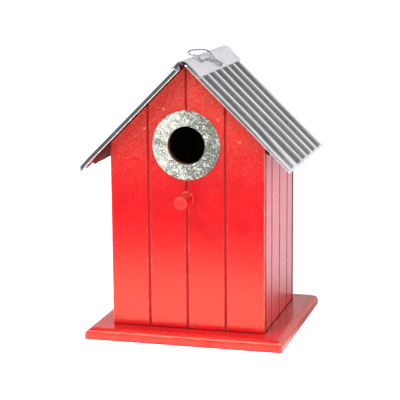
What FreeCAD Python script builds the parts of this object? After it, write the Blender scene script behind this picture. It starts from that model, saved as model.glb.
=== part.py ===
"""Birdhouse: grooved wooden walls on a base board, a 45 degree roof of corrugated zinc sheets
under a folded ridge cap, an entrance hole with a zinc ring, a perch and a wire loop.

Frame: origin at the centre of the underside, +Z up, front towards -Y. Millimetres.
The roof pieces are drawn in a slope frame: X down the slope from the ridge, Y along the ridge,
Z square to the slope, with the top line of the gables as X = Z = 0."""

import FreeCAD
import Part
import math
import os
import Sketcher

from FreeCAD import Placement, Rotation, Vector

os.makedirs("parts", exist_ok=True)
doc = FreeCAD.newDocument("Birdhouse")

# ---------------------------------------------------------------- driving dimensions
DIMENSIONS = {
    # base board
    "base_width": 160.0,
    "base_depth": 148.0,
    "base_thickness": 9.0,
    "base_round": 5.0,
    "base_step": 0.5,
    "overshoot": 1.0,
    # walls
    "wall_width": 124.0,
    "house_depth": 111.2,
    "panel_thickness": 6.0,
    "ridge_height": 217.6,
    "groove_width": 2.6,
    "groove_depth": 1.4,
    "front_groove_pitch": 31.0,
    "side_groove_pitch": 28.7,
    "edge_round": 0.6,
    # entrance and perch
    "entrance_radius": 15.0,
    "entrance_height": 156.0,
    "ring_radius": 27.2,
    "ring_gauge": 0.6,
    "ring_nail_circle": 20.8,
    "perch_radius": 5.2,
    "perch_height": 114.0,
    "perch_reach": 18.4,
    "perch_round": 0.8,
    # roof
    "roof_board_thickness": 3.0,
    "left_roof_board_length": 107.7,
    "right_roof_board_length": 93.0,
    "eave_board_depth": 117.6,
    "cleat_width": 8.0,
    "cleat_depth": 14.0,
    "cleat_start": 18.0,
    "cleat_end": 80.0,
    "sheet_gauge": 0.5,
    "sheet_width": 130.0,
    "wave_pitch": 20.0,
    "wave_rise": 2.1,
    "left_sheet_start": 2.9,
    "left_sheet_end": 119.4,
    "right_sheet_start": 0.2,
    "right_sheet_end": 114.8,
    "right_sheet_tilt": 0.8,
    "left_wave_shift": -5.0,
    "cap_gauge": 0.5,
    "cap_offset": 5.45,
    "cap_bend": 7.0,
    "cap_right_flange": 15.2,
    "cap_left_flange": 7.6,
    # wire loop
    "wire_radius": 0.65,
    "shank_radius": 1.25,
    "wire_hole_radius": 1.55,
    "wire_hole_x": 12.9,
    "wire_hole_y": 2.8,
    "wire_lift": 1.6,
    "joint_gap": 0.3,
    "tail_spread": 7.0,
    # clean-out opening and its cover
    "opening_radius": 20.0,
    "opening_height": 44.0,
    "cover_width": 54.0,
    "cover_thickness": 5.0,
    "cover_corner": 6.0,
    "cover_bottom": 17.0,
    "cover_top": 84.0,
    "pivot_height": 76.0,
    "pivot_radius": 2.0,
    "pivot_clearance": 0.08,
    "pivot_head_radius": 4.2,
    "pivot_head_height": 2.2,
    # fasteners
    "pin_head_radius": 1.1,
    "pin_radius": 0.7,
    "pin_length": 13.0,
    "pin_dome": 0.35,
    "corner_pin_dome": 0.15,
    "slope_pin_depth": 11.0,
    "nail_head_radius": 1.4,
    "nail_radius": 0.6,
    "nail_length": 5.0,
    "nail_dome": 0.7,
    "screw_head_radius": 3.4,
    "screw_head_height": 2.2,
    "screw_radius": 1.6,
    "screw_length": 20.0,
    "screw_inset": 0.4,
    "screw_seat_radius": 3.9,
    "screw_hole_radius": 1.8,
    "base_screw_y": 30.0,
}

sheet = doc.addObject("Spreadsheet::Sheet", "Sizes")
for row, (alias, size) in enumerate(DIMENSIONS.items(), start=1):
    sheet.set(f"A{row}", alias)
    sheet.set(f"B{row}", str(size))
    sheet.setAlias(f"B{row}", alias)
doc.recompute()


def rule(text):
    """An expression on the sheet: every @name stands for a cell."""
    return text.replace("@", "Sizes.")


def value(text):
    """The number that such an expression has now."""
    return float(sheet.evalExpression(rule(text)))


# ---------------------------------------------------------------- sketch and feature helpers
def new_body(name):
    body = doc.addObject("PartDesign::Body", name)
    body.Label = name
    return body


def origin_item(body, role):
    """One of the body's own origin planes or axes."""
    return next(item for item in body.Origin.OriginFeatures if item.Role == role)


def new_sketch(body, role, offset="0"):
    """A sketch on an origin plane of the body, moved along the plane's normal by offset."""
    sketch = body.newObject("Sketcher::SketchObject", f"{body.Name}_sketch")
    sketch.AttachmentSupport = (origin_item(body, role), [""])
    sketch.MapMode = "FlatFace"
    sketch.setExpression("AttachmentOffset.Base.z", rule(offset))
    return sketch


def bind(sketch, kind, datum, *target):
    """A dimension of the sketch, driven by the expression in datum."""
    index = sketch.addConstraint(Sketcher.Constraint(kind, *target, value(datum)))
    sketch.setExpression(f"Constraints[{index}]", rule(datum))


def pin_down(sketch, x_rule, y_rule, geometry, vertex):
    """Both coordinates of one sketch point, driven by expressions."""
    bind(sketch, "DistanceX", x_rule, -1, 1, geometry, vertex)
    bind(sketch, "DistanceY", y_rule, -1, 1, geometry, vertex)


def arc_between(start, end, radius):
    """The short arc from start to end: radius > 0 turns left, radius < 0 turns right."""
    chord = end - start
    height = (radius * radius - chord.Length * chord.Length / 4) ** 0.5
    side = 1 if radius > 0 else -1
    across = Vector(-chord.y, chord.x, 0).normalize()
    centre = start + chord / 2 + across * height * side
    whole = Part.Circle(centre, Vector(0, 0, 1), abs(radius))
    first, last = (start, end) if side > 0 else (end, start)
    return Part.ArcOfCircle(whole, whole.parameter(first), whole.parameter(last))


def outline(sketch, corners):
    """A closed profile. Each corner is (x, y), or (x, y, radius) where the edge leaving it
    is an arc. All entries are expressions."""
    points = [Vector(value(corner[0]), value(corner[1]), 0) for corner in corners]
    ends = []
    for index, corner in enumerate(corners):
        start = points[index]
        end = points[(index + 1) % len(points)]
        if len(corner) == 3:
            radius = value(corner[2])
            edge = sketch.addGeometry(arc_between(start, end, radius))
            bind(sketch, "Radius", f"abs({corner[2]})", edge)
            ends.append((edge, 1, 2) if radius > 0 else (edge, 2, 1))
        else:
            edge = sketch.addGeometry(Part.LineSegment(start, end))
            ends.append((edge, 1, 2))
    for index, (edge, first, _) in enumerate(ends):
        before, _, last = ends[index - 1]
        sketch.addConstraint(Sketcher.Constraint("Coincident", before, last, edge, first))
        pin_down(sketch, corners[index][0], corners[index][1], edge, first)


def circle(sketch, x_rule, y_rule, radius_rule):
    """A full circle, driven by expressions."""
    centre = Vector(value(x_rule), value(y_rule), 0)
    ring = sketch.addGeometry(Part.Circle(centre, Vector(0, 0, 1), value(radius_rule)))
    pin_down(sketch, x_rule, y_rule, ring, 3)
    bind(sketch, "Radius", radius_rule, ring)


def groove_profiles(sketch, centres, face_rule, inwards):
    """V cuts: one triangle for each centre, with its mouth on the face."""
    for centre in centres:
        outline(sketch, [
            (f"{centre} - @groove_width / 2", face_rule),
            (f"{centre} + @groove_width / 2", face_rule),
            (centre, f"{face_rule} + ({inwards}) * @groove_depth"),
        ])


def pad(body, sketch, length, symmetric=False, reverse=False):
    """Solid along the sketch's normal, from the sketch or centred on it."""
    feature = body.newObject("PartDesign::Pad", f"{body.Name}_pad")
    feature.Profile = sketch
    feature.setExpression("Length", rule(length))
    feature.SideType = "Symmetric" if symmetric else "One side"
    feature.Reversed = reverse
    doc.recompute()
    return feature


def pocket(body, sketch, depth=None):
    """A cut through everything, on both sides of the sketch, or one of the given depth
    along the sketch's normal."""
    before = body.Shape.Volume
    feature = body.newObject("PartDesign::Pocket", f"{body.Name}_pocket")
    feature.Profile = sketch
    if depth:
        feature.setExpression("Length", rule(depth))
        feature.Reversed = True
    else:
        feature.Type = "ThroughAll"
        feature.SideType = "Symmetric"
    doc.recompute()
    if body.Shape.Volume >= before:
        raise ValueError(f"{feature.Name} cuts nothing")
    return feature


def round_edges(body, picked, radius):
    """Rounds the edges of the body's last feature for which picked(edge) holds."""
    tip = body.Tip
    names = [f"Edge{i}" for i, edge in enumerate(tip.Shape.Edges, start=1) if picked(edge)]
    feature = body.newObject("PartDesign::Fillet", f"{body.Name}_round")
    feature.Base = (tip, names)
    feature.setExpression("Radius", rule(radius))
    doc.recompute()
    return feature


def lies_at(edge, **limits):
    """Whether the whole edge lies at the given coordinates, such as lies_at(edge, YMin=0)."""
    box = edge.BoundBox
    return all(abs(getattr(box, name) - place) < 0.01 for name, place in limits.items())


FRONT = Vector(0, -1, 0)
BACK = Vector(0, 1, 0)
DOWN = Vector(0, 0, -1)

# The slope frames: local X runs down the slope and local Z stands square to it.
RIDGE = Vector(0, 0, value("@ridge_height"))
RIGHT_SLOPE = Placement(RIDGE, Rotation(Vector(0, 1, 0), 45))
LEFT_SLOPE = Placement(RIDGE, Rotation(Vector(0, 0, 1), 180) * Rotation(Vector(0, 1, 0), 45))


# ---------------------------------------------------------------- base
BASE_SCREW_PLACES = [
    (f"{x_side} * (@wall_width - @panel_thickness) / 2", f"{y_side} * @base_screw_y")
    for x_side in (-1, 1)
    for y_side in (-1, 1)
]


def make_base():
    """Board with a step and a round along its four top edges, mitred at the corners."""
    body = new_body("base_plate")
    section = new_sketch(body, "XZ_Plane")
    flat = "(@base_width / 2 - @base_round)"
    shoulder = "@base_thickness - @base_step"
    outline(section, [
        ("-@base_width / 2", "0"),
        ("@base_width / 2", "0"),
        ("@base_width / 2", f"{shoulder} - @base_round", "@base_round"),
        (flat, shoulder),
        (flat, "@base_thickness"),
        (f"-{flat}", "@base_thickness"),
        (f"-{flat}", shoulder, "@base_round"),
        ("-@base_width / 2", f"{shoulder} - @base_round"),
    ])
    pad(body, section, "@base_depth", symmetric=True)
    waste = new_sketch(body, "YZ_Plane")
    for side in ("1", "-1"):
        edge = f"{side} * @base_depth / 2"
        inner = f"{side} * (@base_depth / 2 - @base_round)"
        outline(waste, [
            (edge, f"{shoulder} - @base_round", f"{side} * @base_round"),
            (inner, shoulder),
            (inner, "@base_thickness + @overshoot"),
            (f"{edge} + {side} * @overshoot", "@base_thickness + @overshoot"),
            (f"{edge} + {side} * @overshoot", f"{shoulder} - @base_round"),
        ])
    pocket(body, waste)
    holes = new_sketch(body, "XY_Plane")
    seats = new_sketch(body, "XY_Plane")
    for x_rule, y_rule in BASE_SCREW_PLACES:
        circle(holes, x_rule, y_rule, "@screw_hole_radius")
        circle(seats, x_rule, y_rule, "@screw_seat_radius")
    pocket(body, holes)
    pocket(body, seats, "@screw_inset + @screw_head_height")
    return body


# ---------------------------------------------------------------- walls
FRONT_GROOVES = ["-@front_groove_pitch", "0", "@front_groove_pitch"]
SIDE_GROOVES = ["-@side_groove_pitch", "0", "@side_groove_pitch"]
CORNER_HEIGHT = "@ridge_height - @wall_width / 2"


def make_gable(name, outer_face, inner_offset, inwards, cut_holes):
    """Five-sided panel. outer_face is the Y of its grooved face; inwards is the sign of Y
    from there into the wood."""
    body = new_body(name)
    profile = new_sketch(body, "XZ_Plane", inner_offset)
    outline(profile, [
        ("-@wall_width / 2", "@base_thickness"),
        ("@wall_width / 2", "@base_thickness"),
        ("@wall_width / 2", CORNER_HEIGHT),
        ("0", "@ridge_height"),
        ("-@wall_width / 2", CORNER_HEIGHT),
    ])
    cut_holes(profile)
    pad(body, profile, "@panel_thickness")
    face = value(outer_face)
    half = value("@wall_width / 2")
    round_edges(
        body,
        lambda edge: lies_at(edge, YMin=face, YMax=face) and (
            lies_at(edge, XMin=half) or lies_at(edge, XMax=-half)
            or lies_at(edge, ZMax=value("@base_thickness"))),
        "@edge_round",
    )
    grooves = new_sketch(body, "XY_Plane")
    groove_profiles(grooves, FRONT_GROOVES, outer_face, inwards)
    pocket(body, grooves)
    return body


def front_holes(profile):
    """The entrance and the perch's hole."""
    circle(profile, "0", "@entrance_height", "@entrance_radius")
    circle(profile, "0", "@perch_height", "@perch_radius")


def back_holes(profile):
    """The opening to clean the box out."""
    circle(profile, "0", "@opening_height", "@opening_radius")


def make_side_wall(name, side):
    """Wall between the gables, its top cut at 45 degrees under the roof board."""
    body = new_body(name)
    profile = new_sketch(body, "XZ_Plane")
    outer = f"{side} * @wall_width / 2"
    inner = f"{side} * (@wall_width / 2 - @panel_thickness)"
    under_board = "@ridge_height - @roof_board_thickness * sqrt(2) - @wall_width / 2"
    corners = [
        (inner, "@base_thickness"),
        (outer, "@base_thickness"),
        (outer, under_board),
        (inner, f"{under_board} + @panel_thickness"),
    ]
    outline(profile, corners if side > 0 else corners[::-1])
    pad(body, profile, "@house_depth - 2 * @panel_thickness", symmetric=True)
    grooves = new_sketch(body, "XY_Plane")
    for centre in SIDE_GROOVES:
        outline(grooves, [
            (outer, f"{centre} - @groove_width / 2"),
            (outer, f"{centre} + @groove_width / 2"),
            (f"{outer} - {side} * @groove_depth", centre),
        ])
    pocket(body, grooves)
    return body


# ---------------------------------------------------------------- roof
def make_roof_board(name, slope, length, wide_eave, with_hole):
    """Board let in between the gables, mitred at the ridge, V-grooved underneath. With
    wide_eave its overhang outside the wall runs on past both gables."""
    body = new_body(name)
    profile = new_sketch(body, "XZ_Plane")
    outline(profile, [
        ("@roof_board_thickness", "-@roof_board_thickness"),
        (length, "-@roof_board_thickness"),
        (length, "0"),
        ("0", "0"),
    ])
    pad(body, profile, "@house_depth - 2 * @panel_thickness", symmetric=True)
    if wide_eave:
        eave = new_sketch(body, "XZ_Plane")
        wall_line = "@wall_width / 2 * sqrt(2)"
        outline(eave, [
            (f"{wall_line} + @roof_board_thickness", "-@roof_board_thickness"),
            (length, "-@roof_board_thickness"),
            (length, "0"),
            (wall_line, "0"),
        ])
        pad(body, eave, "@eave_board_depth", symmetric=True)
    grooves = new_sketch(body, "YZ_Plane")
    groove_profiles(grooves, SIDE_GROOVES, "-@roof_board_thickness", "1")
    pocket(body, grooves)
    if with_hole:
        drill_for_wire(body)
    body.Placement = slope
    return body


def drill_for_wire(body):
    """The hole down which the wire passes, square to the right slope."""
    hole = new_sketch(body, "XY_Plane")
    circle(hole, "@wire_hole_x", "@wire_hole_y", "@wire_hole_radius")
    pocket(body, hole)


def make_cleat(name, slope, side):
    """Batten inside a gable under the roof board; side is the sign of local Y."""
    body = new_body(name)
    profile = new_sketch(body, "XY_Plane", "-@roof_board_thickness")
    near = f"{side} * (@house_depth / 2 - @panel_thickness - @cleat_width)"
    far = f"{side} * (@house_depth / 2 - @panel_thickness)"
    low, high = (near, far) if side > 0 else (far, near)
    outline(profile, [
        ("@cleat_start", low),
        ("@cleat_end", low),
        ("@cleat_end", high),
        ("@cleat_start", high),
    ])
    pad(body, profile, "@cleat_depth", reverse=True)
    body.Placement = slope
    return body


# Waves beyond the sheet's width, so that the row covers it wherever the wave starts.
SPARE_WAVES = 2
WAVE_ANGLE = "(2 * atan(4 * @wave_rise / @wave_pitch))"
WAVE_RADIUS = f"(@wave_pitch / 4 / sin({WAVE_ANGLE}))"


def make_roof_sheet(name, slope, start, end, shift, with_hole):
    """Corrugated sheet: arcs of one radius, crest and valley by turns, that meet where the
    wave crosses its middle. One wave is padded down the slope and repeated along the ridge,
    and the ends are trimmed to the sheet's width."""
    body = new_body(name)
    wave = new_sketch(body, "YZ_Plane", start)
    first = f"({shift} - @sheet_width / 2 - @wave_pitch)"
    across = f"@sheet_gauge / 2 * sin({WAVE_ANGLE})"
    above = f"@sheet_gauge / 2 * cos({WAVE_ANGLE})"
    middle = "@wave_rise + @sheet_gauge / 2"
    half = "@wave_pitch / 2"
    inner = f"({WAVE_RADIUS} - @sheet_gauge / 2)"
    outer = f"({WAVE_RADIUS} + @sheet_gauge / 2)"
    outline(wave, [
        (f"{first} + {across}", f"{middle} - {above}", f"-1 * {inner}"),
        (f"{first} + {half} - {across}", f"{middle} - {above}", outer),
        (f"{first} + 2 * {half} + {across}", f"{middle} - {above}"),
        (f"{first} + 2 * {half} - {across}", f"{middle} + {above}", f"-1 * {inner}"),
        (f"{first} + {half} + {across}", f"{middle} + {above}", outer),
        (f"{first} - {across}", f"{middle} + {above}"),
    ])
    strip = pad(body, wave, f"{end} - ({start})")
    waves = body.newObject("PartDesign::LinearPattern", f"{name}_waves")
    waves.Originals = [strip]
    waves.Direction = (origin_item(body, "Y_Axis"), [""])
    waves.Mode = "Spacing"
    waves.setExpression("Offset", rule("@wave_pitch"))
    waves.Occurrences = math.ceil(value("@sheet_width / @wave_pitch")) + SPARE_WAVES
    body.Tip = waves
    doc.recompute()
    trim = new_sketch(body, "XY_Plane")
    for side in (1, -1):
        near, far = sorted((f"{side} * @sheet_width / 2", f"{side} * @sheet_width * 2"), key=value)
        outline(trim, [("-@sheet_width", near), ("@sheet_width * 2", near),
                       ("@sheet_width * 2", far), ("-@sheet_width", far)])
    pocket(body, trim)
    if with_hole:
        drill_for_wire(body)
    body.Placement = slope
    return body


def make_ridge_cap():
    """Angle of zinc with a rounded bend, drawn in the right slope's frame: its right flange
    lies along X and its left flange runs down -Z."""
    body = new_body("ridge_cap")
    profile = new_sketch(body, "XZ_Plane")
    inner = "(@cap_offset - @cap_gauge)"
    outline(profile, [
        ("@cap_right_flange", inner),
        ("@cap_right_flange", "@cap_offset"),
        ("@cap_bend - @cap_offset", "@cap_offset", "@cap_bend"),
        ("-@cap_offset", "@cap_offset - @cap_bend"),
        ("-@cap_offset", "-@cap_left_flange"),
        (f"-{inner}", "-@cap_left_flange"),
        (f"-{inner}", "@cap_offset - @cap_bend", "@cap_gauge - @cap_bend"),
        ("@cap_bend - @cap_offset", inner),
    ])
    pad(body, profile, "@sheet_width", symmetric=True)
    drill_for_wire(body)
    body.Placement = RIGHT_SLOPE
    return body


# ---------------------------------------------------------------- front fittings
def make_entrance_ring():
    """Flat zinc ring nailed round the entrance."""
    body = new_body("entrance_ring")
    profile = new_sketch(body, "XZ_Plane", "@house_depth / 2")
    circle(profile, "0", "@entrance_height", "@ring_radius")
    circle(profile, "0", "@entrance_height", "@entrance_radius")
    pad(body, profile, "@ring_gauge")
    return body


def make_perch():
    """Dowel glued into the front panel, its end flush inside."""
    body = new_body("perch")
    profile = new_sketch(body, "XZ_Plane", "@house_depth / 2 - @panel_thickness")
    circle(profile, "0", "@perch_height", "@perch_radius")
    pad(body, profile, "@perch_reach + @panel_thickness")
    tip = -value("@house_depth / 2 + @perch_reach")
    round_edges(body, lambda edge: lies_at(edge, YMin=tip, YMax=tip), "@perch_round")
    return body


# ---------------------------------------------------------------- fasteners
def dome_pin(name, spot, outwards, head, dome, shank, length):
    """Round nail whose head's underside is at spot; outwards points out of the wood."""
    ball = f"(({head}) ^ 2 + ({dome}) ^ 2) / (2 * ({dome}))"
    turn = Rotation(Vector(0, 0, 1), outwards)
    cap = doc.addObject("Part::Sphere", f"{name}_head")
    cap.setExpression("Radius", rule(ball))
    cap.setExpression("Angle1", rule(f"asin(1 - ({dome}) / ({ball}))"))
    cap.Placement = Placement(spot - outwards * value(f"({ball}) - ({dome})"), turn)
    stem = doc.addObject("Part::Cylinder", f"{name}_stem")
    stem.setExpression("Radius", rule(shank))
    stem.setExpression("Height", rule(length))
    stem.Placement = Placement(spot - outwards * value(length), turn)
    whole = doc.addObject("Part::Fuse", name)
    whole.Base = cap
    whole.Tool = stem
    return whole


def flat_screw(name, spot, outwards, head, head_height, shank, length):
    """Pan-head screw whose head's underside is at spot."""
    turn = Rotation(Vector(0, 0, 1), outwards)
    pieces = []
    for part, radius, height, below in (("head", head, head_height, 0), ("stem", shank, length, 1)):
        piece = doc.addObject("Part::Cylinder", f"{name}_{part}")
        piece.setExpression("Radius", rule(radius))
        piece.setExpression("Height", rule(height))
        piece.Placement = Placement(spot - outwards * below * value(height), turn)
        pieces.append(piece)
    whole = doc.addObject("Part::Fuse", name)
    whole.Base, whole.Tool = pieces
    return whole


def group(name, members):
    """Several separate solids in one node."""
    compound = doc.addObject("Part::Compound", name)
    compound.Links = members
    compound.Label = name
    return compound


# Pins driven by hand: (side, distances down the slope) and the heights of those at the corners.
FRONT_SLOPE_PINS = [(-1, (36.3, 58.6)), (1, (46.9, 70.8))]
FRONT_CORNER_PINS = (15.3, 76.0, 132.0)
BACK_SLOPE_PINS = [(-1, (38.0, 66.0)), (1, (41.0, 63.0))]
BACK_CORNER_PINS = (18.0, 74.0, 130.0)


def gable_pins(name, outwards, slope_places, corner_heights):
    """Pins through a gable: some into the cleats, square to it and below the slope, and some
    into the ends of the side walls."""
    face = value("@house_depth / 2")
    depth = value("@slope_pin_depth")
    pins = []
    for side, places in slope_places:
        for place in places:
            spot = RIGHT_SLOPE.multVec(Vector(place, 0, -depth))
            spot = Vector(side * spot.x, face * outwards.y, spot.z)
            pins.append(dome_pin(f"{name}_{len(pins)}", spot, outwards, "@pin_head_radius",
                                 "@pin_dome", "@pin_radius", "@pin_length"))
    corner = value("@wall_width / 2 - @panel_thickness / 2")
    for side in (-1, 1):
        for height in corner_heights:
            spot = Vector(side * corner, face * outwards.y, height)
            pins.append(dome_pin(f"{name}_{len(pins)}", spot, outwards, "@pin_head_radius",
                                 "@corner_pin_dome", "@pin_radius", "@pin_length"))
    return group(name, pins)


def make_ring_nails():
    """Four nails on the ring's diagonals."""
    nails = []
    reach = value("@ring_nail_circle")
    face = value("@house_depth / 2 + @ring_gauge")
    for index in range(4):
        arm = Rotation(Vector(0, 1, 0), 45 + 90 * index).multVec(Vector(reach, 0, 0))
        spot = Vector(arm.x, -face, value("@entrance_height") + arm.z)
        nails.append(dome_pin(f"ring_nail_{index}", spot, FRONT, "@nail_head_radius",
                              "@nail_dome", "@nail_radius", "@nail_length"))
    return group("entrance_ring_nails", nails)


def make_base_screws():
    """Screws from below, their heads sunk in the base board."""
    seat = value("@screw_inset + @screw_head_height")
    screws = [
        flat_screw(f"base_screw_{index}", Vector(value(x_rule), value(y_rule), seat), DOWN,
                   "@screw_head_radius", "@screw_head_height", "@screw_radius", "@screw_length")
        for index, (x_rule, y_rule) in enumerate(BASE_SCREW_PLACES)
    ]
    return group("base_screws", screws)


# ---------------------------------------------------------------- wire loop
# Points of the bent wire in the right slope's frame: up the flange from the end of the shank,
# over the ridge, forwards in the air, back over the ridge and along the flange to the shank.
LOOP_ROUTE = [
    (7.2, -2.6, 6.7),
    (2.0, -1.2, 6.6),
    (-3.0, 0.4, 6.9),
    (-5.3, -7.0, 6.1),
    (-7.6, -18.0, 5.2),
    (-9.2, -28.0, 4.0),
    (-8.9, -33.2, 2.2),
    (-5.4, -33.6, 3.3),
    (-2.2, -33.2, 7.0),
    (0.9, -35.6, 6.5),
    (4.1, -32.6, 6.4),
    (3.1, -20.0, 6.4),
    (4.4, -12.0, 6.4),
    (7.6, -3.2, 6.7),
]
SHANK_END = (6.9, -2.9, 6.7)
# The part of the shorter neighbouring run that each bend takes.
BEND_SHARE = 0.45


def rounded_path(points):
    """Straight runs joined by tangent arcs, each as large as its two runs allow."""
    edges = []
    start = points[0]
    for before, corner, after in zip(points, points[1:], points[2:]):
        arriving = (corner - before).normalize()
        leaving = (after - corner).normalize()
        reach = BEND_SHARE * min((corner - before).Length, (after - corner).Length)
        first = corner - arriving * reach
        last = corner + leaving * reach
        bisector = (leaving - arriving).normalize()
        half_turn = arriving.getAngle(leaving) / 2
        radius = reach / math.tan(half_turn)
        middle = corner + bisector * radius * (1 / math.cos(half_turn) - 1)
        edges.append(Part.LineSegment(start, first).toShape())
        edges.append(Part.Arc(first, middle, last).toShape())
        start = last
    edges.append(Part.LineSegment(start, points[-1]).toShape())
    return Part.Wire(edges)


def tube(path, radius):
    """Round bar along a path."""
    start = path.Edges[0]
    direction = start.tangentAt(start.FirstParameter)
    ring = Part.Wire(Part.makeCircle(radius, path.OrderedVertexes[0].Point, direction))
    return path.makePipeShell([ring], True, True)


def rod(start, end, radius):
    """Straight round bar."""
    return Part.makeCylinder(radius, (end - start).Length, start, end - start)


def hinge_point():
    """The bend of the wire over its hole, in the slope's frame."""
    return Vector(value("@wire_hole_x"), value("@wire_hole_y"), value("@cap_offset + @wire_lift"))


def free_shape(name, shape, placement):
    """A bent wire shape that no sketch or primitive describes."""
    feature = doc.addObject("Part::Feature", name)
    feature.Shape = shape
    feature.Placement = placement
    feature.Label = name
    return feature


def make_hanging_loop():
    """Closed wire loop on a twisted shank whose round end sits over the hole in the cap."""
    shank_radius = value("@shank_radius")
    bend = hinge_point()
    shank_end = Vector(*SHANK_END)
    loop = tube(rounded_path([Vector(*point) for point in LOOP_ROUTE]), value("@wire_radius"))
    shank = rod(bend, shank_end, shank_radius)
    ends = [Part.makeSphere(shank_radius, place) for place in (bend, shank_end)]
    return free_shape("hanging_loop", loop.multiFuse([shank, *ends]), RIGHT_SLOPE)


def make_loop_wire_tail():
    """The wire's end in the roof: down through the hole, and spread under the roof board."""
    shank_radius = value("@shank_radius")
    wire_radius = value("@wire_radius")
    bend = hinge_point()
    top = bend - Vector(0, 0, value("@shank_radius + @joint_gap"))
    foot = Vector(bend.x, bend.y, -value("@roof_board_thickness + @wire_radius"))
    spread = Vector(0, value("@tail_spread"), 0)
    stem = rod(top, foot, shank_radius)
    bar = rod(foot - spread, foot + spread, wire_radius)
    return free_shape("loop_wire_tail", stem.fuse(bar), RIGHT_SLOPE)


# ---------------------------------------------------------------- clean-out cover
def make_clean_out_cover():
    """Rounded board that hangs from a screw over the opening in the back panel."""
    body = new_body("clean_out_cover")
    profile = new_sketch(body, "XZ_Plane", "-(@house_depth / 2 + @joint_gap)")
    half = "@cover_width / 2"
    corner = "@cover_corner"
    outline(profile, [
        (f"-{half} + {corner}", "@cover_bottom"),
        (f"{half} - {corner}", "@cover_bottom", corner),
        (half, f"@cover_bottom + {corner}"),
        (half, f"@cover_top - {corner}", corner),
        (f"{half} - {corner}", "@cover_top"),
        (f"-{half} + {corner}", "@cover_top", corner),
        (f"-{half}", f"@cover_top - {corner}"),
        (f"-{half}", f"@cover_bottom + {corner}", corner),
    ])
    circle(profile, "0", "@pivot_height", "@pivot_radius + @pivot_clearance")
    pad(body, profile, "@cover_thickness", reverse=True)
    outer = value("@house_depth / 2 + @joint_gap + @cover_thickness")
    hole = value("@pivot_radius + @pivot_clearance")
    round_edges(
        body,
        lambda edge: lies_at(edge, YMin=outer, YMax=outer) and not lies_at(edge, XMax=hole),
        "@edge_round",
    )
    return body


def make_clean_out_screw():
    """The screw on which the cover turns; it holds in the back panel."""
    seat = value("@house_depth / 2 + @cover_thickness + 2 * @joint_gap")
    screw = flat_screw("clean_out_screw", Vector(0, seat, value("@pivot_height")), BACK,
                       "@pivot_head_radius", "@pivot_head_height", "@pivot_radius",
                       "@cover_thickness + @joint_gap + @panel_thickness")
    screw.Label = "clean_out_screw"
    return screw


# ---------------------------------------------------------------- assembly
def build():
    right_sheet = RIGHT_SLOPE * Placement(
        Vector(), Rotation(Vector(0, 1, 0), -value("@right_sheet_tilt")))
    front_face = "-@house_depth / 2"
    back_face = "@house_depth / 2"
    pieces = [
        make_base(),
        make_gable("front_panel", front_face, "@house_depth / 2 - @panel_thickness", "1",
                   front_holes),
        make_gable("back_panel", back_face, "-@house_depth / 2", "-1", back_holes),
        make_side_wall("left_side_wall", -1),
        make_side_wall("right_side_wall", 1),
        make_roof_board("left_roof_board", LEFT_SLOPE, "@left_roof_board_length",
                        wide_eave=True, with_hole=False),
        make_roof_board("right_roof_board", RIGHT_SLOPE, "@right_roof_board_length",
                        wide_eave=False, with_hole=True),
        make_cleat("front_left_gable_cleat", LEFT_SLOPE, 1),
        make_cleat("back_left_gable_cleat", LEFT_SLOPE, -1),
        make_cleat("front_right_gable_cleat", RIGHT_SLOPE, -1),
        make_cleat("back_right_gable_cleat", RIGHT_SLOPE, 1),
        make_roof_sheet("left_roof_sheet", LEFT_SLOPE, "@left_sheet_start", "@left_sheet_end",
                        "@left_wave_shift", with_hole=False),
        make_roof_sheet("right_roof_sheet", right_sheet, "@right_sheet_start",
                        "@right_sheet_end", "0", with_hole=True),
        make_ridge_cap(),
        make_entrance_ring(),
        make_ring_nails(),
        make_perch(),
        gable_pins("front_panel_pins", FRONT, FRONT_SLOPE_PINS, FRONT_CORNER_PINS),
        gable_pins("back_panel_pins", BACK, BACK_SLOPE_PINS, BACK_CORNER_PINS),
        make_base_screws(),
        make_hanging_loop(),
        make_loop_wire_tail(),
        make_clean_out_cover(),
        make_clean_out_screw(),
    ]
    doc.recompute()
    for item in doc.Objects:
        if "Invalid" in item.State or "Error" in item.State:
            raise ValueError(f"{item.Name} is {item.State}")
    for piece in pieces:
        if piece.Shape.isNull() or not piece.Shape.isValid():
            raise ValueError(f"{piece.Label} has no valid shape")
    for piece in pieces:
        piece.Shape.exportStep(f"parts/{piece.Label}.step")
        print(f"{piece.Label}: {len(piece.Shape.Solids)} solids, {piece.Shape.Volume:.0f} mm3")


build()
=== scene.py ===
"""The looks of the birdhouse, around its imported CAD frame. Metres, in the CAD frame: origin at
the centre of the underside, +Z up, front towards -Y.

Lengths named in the drawing's own terms are millimetres, and MM turns them into metres."""

import math

import bmesh
import bpy
from mathutils import Matrix, Vector, noise


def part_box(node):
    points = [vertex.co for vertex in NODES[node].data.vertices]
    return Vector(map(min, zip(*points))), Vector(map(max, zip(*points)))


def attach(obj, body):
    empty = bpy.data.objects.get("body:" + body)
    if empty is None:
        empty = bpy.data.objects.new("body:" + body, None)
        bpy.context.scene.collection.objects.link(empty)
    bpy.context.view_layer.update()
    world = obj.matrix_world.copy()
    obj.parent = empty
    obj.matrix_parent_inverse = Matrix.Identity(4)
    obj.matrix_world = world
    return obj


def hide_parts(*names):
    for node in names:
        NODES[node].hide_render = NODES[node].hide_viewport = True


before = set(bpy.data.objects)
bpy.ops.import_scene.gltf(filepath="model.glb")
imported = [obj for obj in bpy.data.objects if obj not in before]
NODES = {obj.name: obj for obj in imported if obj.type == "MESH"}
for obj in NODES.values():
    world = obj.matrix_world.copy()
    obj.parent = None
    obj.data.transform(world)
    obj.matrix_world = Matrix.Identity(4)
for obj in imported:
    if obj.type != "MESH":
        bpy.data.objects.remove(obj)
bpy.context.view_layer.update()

MM = 0.001

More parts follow.
